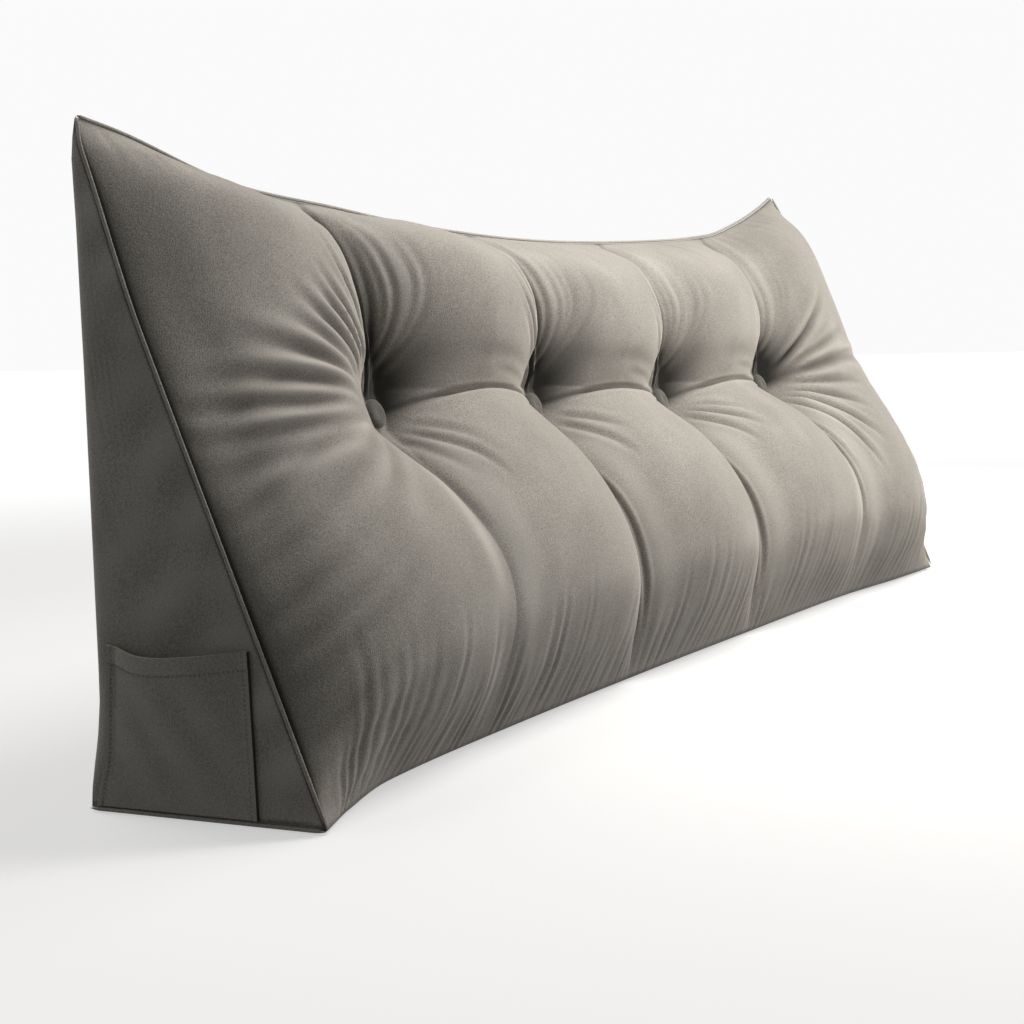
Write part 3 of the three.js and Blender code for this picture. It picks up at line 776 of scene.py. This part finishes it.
def set_inputs(node, **values):
    """Sets a node's inputs, named with a low line for each space."""
    for name, value in values.items():
        node.inputs[name.replace("_", " ")].default_value = value


def noise(tree, source, scale, detail, stretch_to=(1, 1, 1), turn=(0, 0, 0)):
    mapping = tree.nodes.new("ShaderNodeMapping")
    set_inputs(mapping, Scale=stretch_to, Rotation=turn)
    link(tree, source, mapping.inputs["Vector"])
    texture = tree.nodes.new("ShaderNodeTexNoise")
    set_inputs(texture, Scale=scale, Detail=detail)
    link(tree, mapping.outputs["Vector"], texture.inputs["Vector"])
    return texture.outputs["Fac"]


def ramp(tree, source, low, high, start=0, end=1, shape="LINEAR"):
    """Spreads the values between low and high from start to end."""
    spread = tree.nodes.new("ShaderNodeMapRange")
    spread.interpolation_type = shape
    set_inputs(spread, From_Min=low, From_Max=high, To_Min=start, To_Max=end)
    link(tree, source, spread.inputs["Value"])
    return spread.outputs["Result"]


def times(tree, source, factor):
    product = tree.nodes.new("ShaderNodeMath")
    product.operation = "MULTIPLY"
    product.inputs[1].default_value = factor
    link(tree, source, product.inputs[0])
    return product.outputs[0]


def mix(tree, share, one, two):
    """Colour between two, each a colour or the output of a node."""
    blend = tree.nodes.new("ShaderNodeMix")
    blend.data_type = "RGBA"
    link(tree, share, blend.inputs["Factor"])
    for socket, value in ((blend.inputs["A"], one), (blend.inputs["B"], two)):
        if isinstance(value, tuple):
            socket.default_value = (*value, 1)
        else:
            link(tree, value, socket)
    return blend.outputs["Result"]


GRAIN = {"scale": 900, "between": (0.35, 0.65), "share": 0.6, "dark": 0.3, "strength": 0.3, "deep": 0.0005}
MOTTLE = {"scale": 9, "between": (0.32, 0.68)}
BRUSHED = {"scale": 22, "stretch": (1, 0.5, 1), "turn": (0.5, 0.6, 0.7), "between": (0.4, 0.7), "share": 0.2}
PILE = {
    "Roughness": 0.9, "Specular_IOR_Level": 0.2, "Sheen_Weight": 0.45, "Sheen_Roughness": 0.4,
    "Sheen_Tint": (1, 0.95, 0.88, 1),
}


def velvet(name, light, dark, shade_colour, brushed_or_lit):
    """Short-nap cloth: brushed patches, fine grain, and painted shade and painted highlight from the tone
    attribute.
    """
    material = bpy.data.materials.new(name)
    material.use_nodes = True
    tree = material.node_tree
    shader = tree.nodes["Principled BSDF"]
    place_of = tree.nodes.new("ShaderNodeTexCoord").outputs["Object"]
    mottle = ramp(tree, noise(tree, place_of, MOTTLE["scale"], 3), *MOTTLE["between"])
    colour = mix(tree, mottle, dark, light)
    brushed = noise(tree, place_of, BRUSHED["scale"], 2, BRUSHED["stretch"], BRUSHED["turn"])
    brushed = ramp(tree, brushed, *BRUSHED["between"])
    colour = mix(tree, times(tree, brushed, BRUSHED["share"]), colour, brushed_or_lit)
    grain = ramp(tree, noise(tree, place_of, GRAIN["scale"], 3), *GRAIN["between"])
    grain_dark = tuple(GRAIN["dark"] * c for c in dark)
    colour = mix(tree, times(tree, grain, GRAIN["share"]), colour, grain_dark)
    # The tone attribute carries painted light and shade: below 0 toward the shade colour, above 0 toward the
    # paler colour
    tone = tree.nodes.new("ShaderNodeAttribute")
    tone.attribute_name = "tone"
    colour = mix(tree, ramp(tree, tone.outputs["Fac"], 0, -1), colour, shade_colour)
    colour = mix(tree, ramp(tree, tone.outputs["Fac"], 0, 1), colour, brushed_or_lit)
    link(tree, colour, shader.inputs["Base Color"])
    bump = tree.nodes.new("ShaderNodeBump")
    set_inputs(bump, Strength=GRAIN["strength"], Distance=GRAIN["deep"])
    link(tree, grain, bump.inputs["Height"])
    link(tree, bump.outputs["Normal"], shader.inputs["Normal"])
    set_inputs(shader, **PILE)
    return material


# Colours of each cloth: light, dark, its painted shade, and its paler colour for brushed patches and painted
# highlight
COVER = velvet(
    "cover_velvet", (0.45, 0.42, 0.378), (0.39, 0.366, 0.33), (0.022, 0.021, 0.018), (0.7, 0.665, 0.61),
)
# The piping's velvet is a paler copy of the cover's, painted lighter for the light the round cords catch
TRIM = velvet(
    "piping_velvet", (0.52, 0.49, 0.445), (0.46, 0.435, 0.395), (0.1, 0.095, 0.085), (0.62, 0.59, 0.54),
)
# The buttons' velvet is a darker copy of the cover's, darkened as painted shade of the wells they sit in
BUTTON_CLOTH_SHADED = velvet(
    "button_velvet", (0.15, 0.143, 0.13), (0.125, 0.119, 0.108), (0.02, 0.02, 0.018), (0.2, 0.19, 0.175),
)
THREAD = velvet(
    "thread", (0.75, 0.72, 0.67), (0.68, 0.65, 0.6), (0.3, 0.285, 0.26), (0.8, 0.77, 0.72),
)


def set_tone(piece, values):
    attribute = piece.data.attributes.new("tone", "FLOAT", "POINT")
    attribute.data.foreach_set("value", np.asarray(values, np.float32))


points, faces = cushion_mesh(FRONT, PAINTED_SHADE_TONE, BACK_STEP)
cushion = new_object("cushion_cover", points[:, :3], faces, COVER)
set_tone(cushion, points[:, 3])
cushion.data.set_sharp_from_angle(angle=math.radians(50))
finish_piece(cushion, "cover", "cushion")


# Piped cords
def tube(path, radius, sides=12):
    """Points and faces of a closed tube along a path, with a radius at each of its points."""
    path = np.asarray(path, float)
    tangent = np.gradient(path, axis=0)
    tangent /= np.linalg.norm(tangent, axis=1, keepdims=True)
    side = np.cross(tangent, [0.2, 0.9, 0.3])
    side /= np.linalg.norm(side, axis=1, keepdims=True)
    up = np.cross(side, tangent)
    turn = np.linspace(0, 2 * np.pi, sides, endpoint=False)
    ring = np.cos(turn)[:, None, None] * side + np.sin(turn)[:, None, None] * up
    points = (path + radius[:, None] * ring).transpose(1, 0, 2).reshape(-1, 3)
    faces = []
    for i in range(len(path) - 1):
        for k in range(sides):
            n = (k + 1) % sides
            faces.append((i * sides + k, i * sides + n, (i + 1) * sides + n, (i + 1) * sides + k))
    faces.append(tuple(range(sides))[::-1])
    faces.append(tuple(range((len(path) - 1) * sides, len(path) * sides)))
    return points, faces


CORD_CLEAR = 3
CORD_STEPS = 300
CORD_TAPER = {"tip": 2, "corner": 8}  # length over which a cord's end is rounded off or tucked in
TOP_CORD_SIDE = (0, 0.5, 1)
BASE_CORD_RISE = -0.2


def along_seam(seam, outward):
    outward = np.asarray(outward, float)
    return seam + outward / np.linalg.norm(outward) * (PIPING / 2 + CORD_FIT)


def piped(name, path, start, stop):
    """A cord along a path, each end of it at a tip or in a corner of the pillow."""
    step = np.linalg.norm(np.diff(path, axis=0), axis=1)
    run = np.concatenate([[0], np.cumsum(step)])
    share = np.minimum(run / CORD_TAPER[start], (run[-1] - run) / CORD_TAPER[stop])
    radius = PIPING / 2 * np.sqrt(np.clip(share, 0.01, 1))
    points, faces = tube(path, radius)
    piece = new_object(name, points, faces, TRIM)
    finish_piece(piece, "piping", name)


stations = np.linspace(CORD_CLEAR, LENGTH - CORD_CLEAR, CORD_STEPS)
top_seam = place(stations, 0 * stations, panel_at(stations)["top"], False)
piped("piping_top", along_seam(top_seam, TOP_CORD_SIDE), "tip", "tip")
for end, side in ((LEFT, "left"), (RIGHT, "right")):
    station = np.array([0.0 if end is LEFT else LENGTH])
    panel = panel_at(station)
    run = np.linspace(0, panel["length"][0] - CORD_CLEAR, CORD_STEPS // 3)
    along_y, along_z = panel["along"][:, 0]
    seam = place(station, along_y * run, panel["top"] + along_z * run, False)
    piped("piping_slant_" + side, along_seam(seam, (end["outward"], along_z, -along_y)), "tip", "corner")
    y = np.linspace(-BASE_DEPTH, 0, CORD_STEPS // 6)
    seam = np.stack([np.full_like(y, station[0]), y, np.full_like(y, SEAM_LIFT)], -1)
    piped("piping_base_" + side, along_seam(seam, (end["outward"], 0, BASE_CORD_RISE)), "corner", "corner")


# Covered buttons
BUTTON_PROFILE = table(
    "radius height",
    (0, 0.02), (0.7, 0), (0.86, 0.02), (0.96, 0.14), (1, 0.34), (0.985, 0.55), (0.92, 0.76),
    (0.8, 0.9), (0.65, 0.97), (0.48, 1), (0.32, 0.985), (0.16, 0.93), (0, 0.9),
)
BUTTON_SIDES = 48
BUTTON_LIFT = 0.6  # off its seat
SEAT_STEP = 8.0  # to each side of the seat, where the slope of the cloth is taken


def seated_buttons():
    for number, at in enumerate(BUTTONS["at"]):
        station = np.array([at])
        seat = front_points(station, np.array([0.0]))[0]
        across, down = (
            front_points(station + side, np.array([fall])) - front_points(station - side, np.array([-fall]))
            for side, fall in ((SEAT_STEP, 0.0), (0.0, SEAT_STEP))
        )
        normal = Vector(np.cross(down[0], across[0])).normalized()
        stand = normal.to_track_quat("Z", "Y").to_matrix()
        points, faces = [], []
        for ring, (radius, height) in enumerate(zip(BUTTON_PROFILE["radius"], BUTTON_PROFILE["height"])):
            for k in range(BUTTON_SIDES):
                turn = 2 * math.pi * k / BUTTON_SIDES
                local = Vector((
                    radius * BUTTON_RADIUS * math.cos(turn),
                    radius * BUTTON_RADIUS * math.sin(turn),
                    height * BUTTON_THICKNESS + BUTTON_LIFT,
                ))
                points.append(np.array(stand @ local) + seat)
                n = (k + 1) % BUTTON_SIDES
                if ring:
                    low, high = (ring - 1) * BUTTON_SIDES, ring * BUTTON_SIDES
                    faces.append((low + k, low + n, high + n, high + k))
        name = "button_%d" % (number + 1)
        piece = new_object(name, points, faces, BUTTON_CLOTH_SHADED)
        finish_piece(piece, "buttons", name)


seated_buttons()


# Patch pocket, topstitched along its hem and sides
CLOTH = 2
HEM = {"band": 13, "thickness": 1, "edge": 1}
SIDE = {"band": 4.5, "thickness": 0.7, "edge": 1}
# The groove's dark is painted shade in the stitch line
GROOVE = {"depth": 0.5, "width": 0.6, "dark": 0.3}
POCKET = {"bottom": 5.4, "front_top": -143, "front_bottom": -146, "gape": 15}
POCKET_BACK = table("at y", (0, -7), (0.12, -10), (0.26, -15), (0.5, -18), (1, -22))
MOUTH = table("at height", (0, 123), (0.3, 118), (0.65, 120), (1, 124))
FLANGE = 0.07
GAPE_ROUND = {"across": 0.85, "up": 0.9}
FIT = 0.3
POCKET_GRID = {"across": 60, "up": 50, "fine": 0.4, "band": 17}
RUMPLE = {"height": 0.6, "across": 46, "up": 62, "tone": 0.12, "lift": 0.13}


def pocket_outline(b):
    """Back and front edge of the pocket at each share of its height."""
    back = through(POCKET_BACK, "y", b)
    front = POCKET["front_bottom"] + (POCKET["front_top"] - POCKET["front_bottom"]) * b
    return back, front


def pocket_points(a, b, proud):
    """Points of the pocket's sheet and their tone of painted light and shade: a across it from the back, b
    up from its foot.

    proud is 0 on its inner side and 1 on its outer side.
    """
    mouth = through(MOUTH, "height", a)
    z = POCKET["bottom"] + b * (mouth - POCKET["bottom"])
    back, front = pocket_outline(b)
    across = np.sin(np.pi * np.clip((a - FLANGE) / (1 - 2 * FLANGE), 0, 1))
    bulge = POCKET["gape"] * across ** GAPE_ROUND["across"] * np.sin(np.pi / 2 * b) ** GAPE_ROUND["up"]
    from_hem = z - (mouth - HEM["band"])
    from_side = SIDE["band"] - np.minimum(a, 1 - a) * (back - front)
    hem = smooth(from_hem / HEM["edge"]) * HEM["thickness"]
    sides = smooth(from_side / SIDE["edge"]) * SIDE["thickness"]
    line = np.maximum(
        np.exp(-((from_hem / GROOVE["width"]) ** 2)), np.exp(-((from_side / GROOVE["width"]) ** 2)),
    )
    rumple = np.sin(a * (back - front) / RUMPLE["across"] * 2 * np.pi + z / RUMPLE["up"] * 2 * np.pi)
    rumple = rumple * np.sin(np.pi * a) * np.sin(np.pi * b)
    raised = np.maximum(hem, sides) - GROOVE["depth"] * line + RUMPLE["height"] * rumple
    x = -FIT - bulge - proud * (CLOTH + raised)
    # Slightly paler overall, with painted highlight on the rumples' crests and painted shade in their
    # troughs and in the stitch grooves
    tone = RUMPLE["lift"] + RUMPLE["tone"] * rumple - GROOVE["dark"] * line
    return np.stack([x, back + (front - back) * a, z, tone], -1)


def with_fine(count, fine, size):
    """Shares from 0 to 1 with more of them in bands of the size fine at the given ends."""
    shares = [np.linspace(0, 1, count + 1)]
    for low, high in fine:
        shares.append(np.arange(low, high, POCKET_GRID["fine"] / size))
    return np.unique(np.round(np.concatenate(shares), 5))


def pocket_sheet():
    width = POCKET_BACK["y"].mean() - POCKET["front_top"]
    height = MOUTH["height"].mean() - POCKET["bottom"]
    edge = (SIDE["band"] + 3) / width
    hem = (HEM["band"] - 3) / height, (HEM["band"] + 3) / height
    shares_across = with_fine(POCKET_GRID["across"], [(0, edge), (1 - edge, 1)], width)
    shares_up = with_fine(POCKET_GRID["up"], [(1 - hem[1], 1 - hem[0])], height)
    a, b = np.meshgrid(shares_across, shares_up)
    inner, outer = pocket_points(a, b, 0), pocket_points(a, b, 1)
    rows, columns = a.shape
    # Painted shadow along the pocket's front edge and along the inner side of its foot
    inner[:, -1, 3] = outer[:, -1, 3] = -1
    inner[0, :, 3] = -1
    points = np.concatenate([inner.reshape(-1, 4), outer.reshape(-1, 4)])
    inside = np.arange(rows * columns).reshape(rows, columns)
    outside = inside + rows * columns
    faces = []
    for j in range(rows - 1):
        for i in range(columns - 1):
            faces.append((inside[j, i], inside[j, i + 1], inside[j + 1, i + 1], inside[j + 1, i]))
            faces.append((outside[j, i], outside[j + 1, i], outside[j + 1, i + 1], outside[j, i + 1]))
    rim = [*[(0, i) for i in range(columns - 1)], *[(j, columns - 1) for j in range(rows - 1)]]
    rim += [*[(rows - 1, i) for i in range(columns - 1, 0, -1)], *[(j, 0) for j in range(rows - 1, 0, -1)]]
    for one, two in zip(rim, rim[1:] + rim[:1]):
        faces.append((inside[one], outside[one], outside[two], inside[two]))
    return points, [tuple(int(n) for n in face) for face in faces]


points, faces = pocket_sheet()
pocket = new_object("pocket_patch", points[:, :3], faces, COVER)
set_tone(pocket, points[:, 3])
finish_piece(pocket, "pocket", "pocket")
pocket.data.set_sharp_from_angle(angle=math.radians(50))

STITCH = {"pitch": 3.4, "length": 2.3, "radius": 0.42, "steps": 5, "sides": 6}


def joined(parts):
    """Points and faces of one mesh made of several."""
    points, faces = [], []
    for more, quads in parts:
        first = sum(len(p) for p in points)
        points.append(more)
        faces.extend(tuple(first + n for n in quad) for quad in quads)
    return np.concatenate(points), faces


def stitch_line(a, b):
    """Points and faces of a row of stitches along a line on the pocket."""
    line = pocket_points(a, b, 1)[:, :3]
    run = np.concatenate([[0], np.cumsum(np.linalg.norm(np.diff(line, axis=0), axis=1))])
    stitches = []
    for start in np.arange(STITCH["pitch"], run[-1] - STITCH["pitch"], STITCH["pitch"]):
        along = np.linspace(start, start + STITCH["length"], STITCH["steps"])
        path = np.stack([np.interp(along, run, line[:, k]) for k in range(3)], -1)
        arch = np.sin(np.linspace(0, np.pi, STITCH["steps"]))
        path[:, 0] -= STITCH["radius"] * (0.3 + 0.7 * arch)
        stitches.append(tube(path, STITCH["radius"] * np.sqrt(0.2 + 0.8 * arch), STITCH["sides"]))
    return joined(stitches)


def stitched():
    shares = np.linspace(0, 1, 200)
    width = POCKET_BACK["y"].mean() - POCKET["front_top"]
    side = SIDE["band"] / width
    inset = np.clip(shares, side, 1 - side)
    mouth = through(MOUTH, "height", inset)
    hem = (mouth - HEM["band"] - POCKET["bottom"]) / (mouth - POCKET["bottom"])
    back, front = pocket_outline(shares)
    at_back = SIDE["band"] / (back - front)
    lines = (inset, hem), (at_back, shares), (1 - at_back, shares)
    points, faces = joined(stitch_line(a, b) for a, b in lines)
    piece = new_object("pocket_stitches", points, faces, THREAD)
    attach(piece, "root")


stitched()


# Stage: camera as the photograph's, soft studio light, plain pale floor
CAMERA = {"at": (-1.148, -0.941, 0.344), "yaw": 62.74, "pitch": -5.33, "roll": -1.69, "lens": 71.6}


def aim_camera():
    yaw, pitch, roll = (math.radians(CAMERA[turn]) for turn in ("yaw", "pitch", "roll"))
    ahead = Vector((math.sin(yaw) * math.cos(pitch), math.cos(yaw) * math.cos(pitch), math.sin(pitch)))
    level = Vector((math.cos(yaw), -math.sin(yaw), 0))
    upright = level.cross(ahead)
    right = math.cos(roll) * level + math.sin(roll) * upright
    up = math.cos(roll) * upright - math.sin(roll) * level
    camera = add_object("camera", bpy.data.cameras.new("camera"))
    matrix = Matrix((right, up, -ahead)).transposed().to_4x4()
    matrix.translation = Vector(ORIGIN) + Vector(CAMERA["at"])
    camera.matrix_world = matrix
    camera.data.sensor_width = 36
    camera.data.lens = CAMERA["lens"]
    bpy.context.scene.camera = camera


# Places in the sewn frame, in metres; power in watts
WARM, PALE, COOL = (1, 0.95, 0.88), (1, 0.97, 0.92), (0.97, 0.99, 1)
LIGHTS = {
    # place, aim, size, power and colour
    "right": ((2.7, -0.6, 0.9), (1.2, -0.1, 0.3), 1, 22, WARM),
    "low": ((1.2, -1.1, 0.45), (1.1, -0.1, 0.15), 0.7, 6.5, PALE),
    "above": ((0.72, -0.45, 1.15), (0.8, -0.1, 0.3), 0.5, 9, (1, 0.98, 0.95)),
    "behind": ((0.2, 0.6, 1.5), (0.6, -0.1, 0.3), 0.9, 7.5, PALE),
    "left_high": ((-1.4, -0.6, 1.9), (0.4, -0.1, 0.3), 1.4, 0.8, COOL),
    "left_back": ((-2.2, 1, 0.9), (0, -0.1, 0.2), 1.4, 2, COOL),
}
WORLD = {"ambient": 0.105, "seen": 0.96}
FLOOR = {"reach": 14, "tone": 0.55, "near": 0.6, "far": 3.2, "glow": (0.5, 0.95), "roughness": 0.8}


def area_light(name, at, to, size, power, colour):
    light = bpy.data.lights.new(name, "AREA")
    light.shape = "SQUARE"
    light.size = size
    light.energy = power
    light.color = colour
    piece = add_object(name, light)
    piece.location = Vector(ORIGIN) + Vector(at)
    piece.rotation_euler = (Vector(to) - Vector(at)).to_track_quat("-Z", "Y").to_euler()


def light_studio():
    world = bpy.data.worlds.new("studio")
    bpy.context.scene.world = world
    world.use_nodes = True
    tree = world.node_tree
    seen = tree.nodes.new("ShaderNodeLightPath").outputs["Is Camera Ray"]
    background = tree.nodes["Background"]
    set_inputs(background, Color=(1, 1, 1, 1))
    strength = ramp(tree, seen, 0, 1, WORLD["ambient"], WORLD["seen"])
    link(tree, strength, background.inputs["Strength"])
    for name, light in LIGHTS.items():
        area_light(name, *light)


def floor_paint():
    """Pale paint that glows a little more with distance, like a lit studio sweep."""
    material = bpy.data.materials.new("floor_paint")
    material.use_nodes = True
    tree = material.node_tree
    shader = tree.nodes["Principled BSDF"]
    grey = (*[FLOOR["tone"]] * 3, 1)
    set_inputs(shader, Base_Color=grey, Roughness=FLOOR["roughness"], Emission_Color=(1, 1, 1, 1))
    spot = tree.nodes.new("ShaderNodeTexCoord").outputs["Object"]
    distance = tree.nodes.new("ShaderNodeVectorMath")
    distance.operation = "LENGTH"
    link(tree, spot, distance.inputs[0])
    glow = ramp(
        tree, distance.outputs["Value"], FLOOR["near"], FLOOR["far"], *FLOOR["glow"], "SMOOTHSTEP",
    )
    link(tree, glow, shader.inputs["Emission Strength"])
    return material


def lay_floor():
    mesh = bpy.data.meshes.new("floor")
    reach = FLOOR["reach"]
    corners = [(-reach, -reach, 0), (reach, -reach, 0), (reach, reach, 0), (-reach, reach, 0)]
    mesh.from_pydata(corners, [], [(0, 1, 2, 3)])
    floor = add_object("floor", mesh)
    mesh.materials.append(floor_paint())
    floor.visible_diffuse = False  # the pale floor throws no light back up on the cloth


aim_camera()
light_studio()
lay_floor()
bpy.context.scene.view_settings.view_transform = "Standard"
